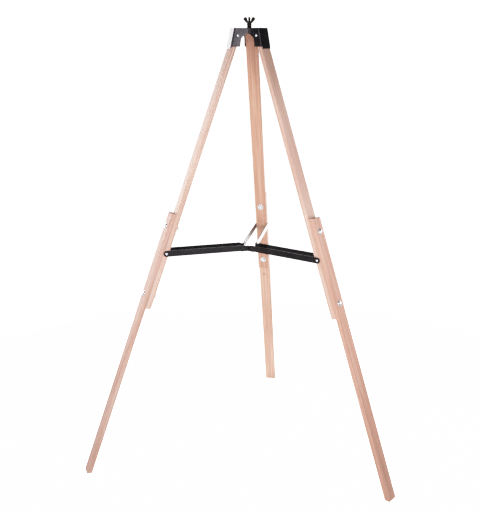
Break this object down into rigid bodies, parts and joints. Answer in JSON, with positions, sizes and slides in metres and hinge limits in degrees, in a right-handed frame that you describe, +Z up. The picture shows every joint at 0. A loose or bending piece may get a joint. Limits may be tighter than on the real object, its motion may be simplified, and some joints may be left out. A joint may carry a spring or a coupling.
{
  "type": "tripod easel stand",
  "caption": "Folding wooden tripod stand: two-part splayed legs hinged in a folded steel head with an upright stud and wing nut, tied together by a folding steel spreader.",
  "frame": {"origin": "on the floor, at the middle of the box that the three feet span", "axes": "+Z up along the head's axis; the rear leg points at +Y and the two front legs lie to -X and +X"},
  "size_m": [1.0452, 0.9054, 1.4855],
  "materials": {
    "timber": "planed, unvarnished",
    "black_enamel": "satin powder coat",
    "zinc_plate": "bright zinc plate",
    "black_hardware": "black oxide"
  },
  "bodies": {
    "head": {"head_bracket": "black_enamel", "head_stud": "black_hardware", "stud_washer": "black_hardware", "stud_nut": "black_hardware", "head_rivet_rear": "zinc_plate", "head_rivet_left": "zinc_plate", "head_rivet_right": "zinc_plate"},
    "clamp_washer": {"clamp_washer": "black_hardware"},
    "wing_nut": {"wing_nut": "black_hardware"},
    "leg_rear": {"upper_leg_rear": "timber", "lower_leg_rear": "timber", "splice_bolts_rear": "zinc_plate", "splice_washers_rear": "zinc_plate", "splice_nuts_rear": "zinc_plate", "leg_pin_rear": "zinc_plate"},
    "leg_left": {"upper_leg_left": "timber", "lower_leg_left": "timber", "splice_bolts_left": "zinc_plate", "splice_washers_left": "zinc_plate", "splice_nuts_left": "zinc_plate", "leg_pin_left": "zinc_plate"},
    "leg_right": {"upper_leg_right": "timber", "lower_leg_right": "timber", "splice_bolts_right": "zinc_plate", "splice_washers_right": "zinc_plate", "splice_nuts_right": "zinc_plate", "leg_pin_right": "zinc_plate"},
    "hub": {"hub_plate": "black_enamel", "hub_rivets": "black_hardware"},
    "arm_rear": {"spreader_strip_a_rear": "black_enamel", "spreader_strip_b_rear": "black_enamel", "strip_rivets_rear": "zinc_plate"},
    "arm_left": {"spreader_strip_a_left": "black_enamel", "spreader_strip_b_left": "black_enamel", "strip_rivets_left": "zinc_plate"},
    "arm_right": {"spreader_strip_a_right": "black_enamel", "spreader_strip_b_right": "black_enamel", "strip_rivets_right": "zinc_plate"}
  },
  "joints": [
    {"name": "leg_rear_fold", "type": "hinge", "parent": "head", "child": "leg_rear", "pos_m": [0, -0.09415, 1.42901], "axis": [-1, 0, 0], "range_deg": [0, 20]},
    {"name": "leg_left_fold", "type": "hinge", "parent": "head", "child": "leg_left", "pos_m": [-0.0394, -0.1624, 1.42901], "axis": [0.5, -0.866, 0], "range_deg": [0, 20]},
    {"name": "leg_right_fold", "type": "hinge", "parent": "head", "child": "leg_right", "pos_m": [0.0394, -0.1624, 1.42901], "axis": [0.5, 0.866, 0], "range_deg": [0, 20]},
    {"name": "hub_lift", "type": "slide", "parent": "head", "child": "hub", "axis": [0, 0, 1], "range_m": [0, 0.22618]},
    {"name": "arm_rear_turn", "type": "hinge", "parent": "hub", "child": "arm_rear", "pos_m": [0, -0.11065, 0.73853], "axis": [-1, 0, 0], "range_deg": [0, 87.42]},
    {"name": "arm_left_turn", "type": "hinge", "parent": "hub", "child": "arm_left", "pos_m": [-0.02511, -0.15415, 0.73853], "axis": [0.5, -0.866, 0], "range_deg": [0, 87.42]},
    {"name": "arm_right_turn", "type": "hinge", "parent": "hub", "child": "arm_right", "pos_m": [0.02511, -0.15415, 0.73853], "axis": [0.5, 0.866, 0], "range_deg": [0, 87.42]},
    {"name": "clamp_washer_lift", "type": "slide", "parent": "head", "child": "clamp_washer", "axis": [0, 0, 1], "range_m": [0, 0.005]},
    {"name": "wing_nut_turn", "type": "hinge", "parent": "clamp_washer", "child": "wing_nut", "pos_m": [0, -0.13965, 1.46201], "axis": [0, 0, 1], "range_deg": [0, 1440]}
  ],
  "couplings": [
    {"joint": "leg_left_fold", "follows": "leg_rear_fold", "ratio": 1},
    {"joint": "leg_right_fold", "follows": "leg_rear_fold", "ratio": 1},
    {"joint": "hub_lift", "follows": "leg_rear_fold", "m_per_rad": 0.64796},
    {"joint": "arm_rear_turn", "follows": "leg_rear_fold", "ratio": 4.3708},
    {"joint": "arm_left_turn", "follows": "leg_rear_fold", "ratio": 4.3708},
    {"joint": "arm_right_turn", "follows": "leg_rear_fold", "ratio": 4.3708},
    {"joint": "clamp_washer_lift", "follows": "wing_nut_turn", "m_per_rad": 0.00019894}
  ]
}
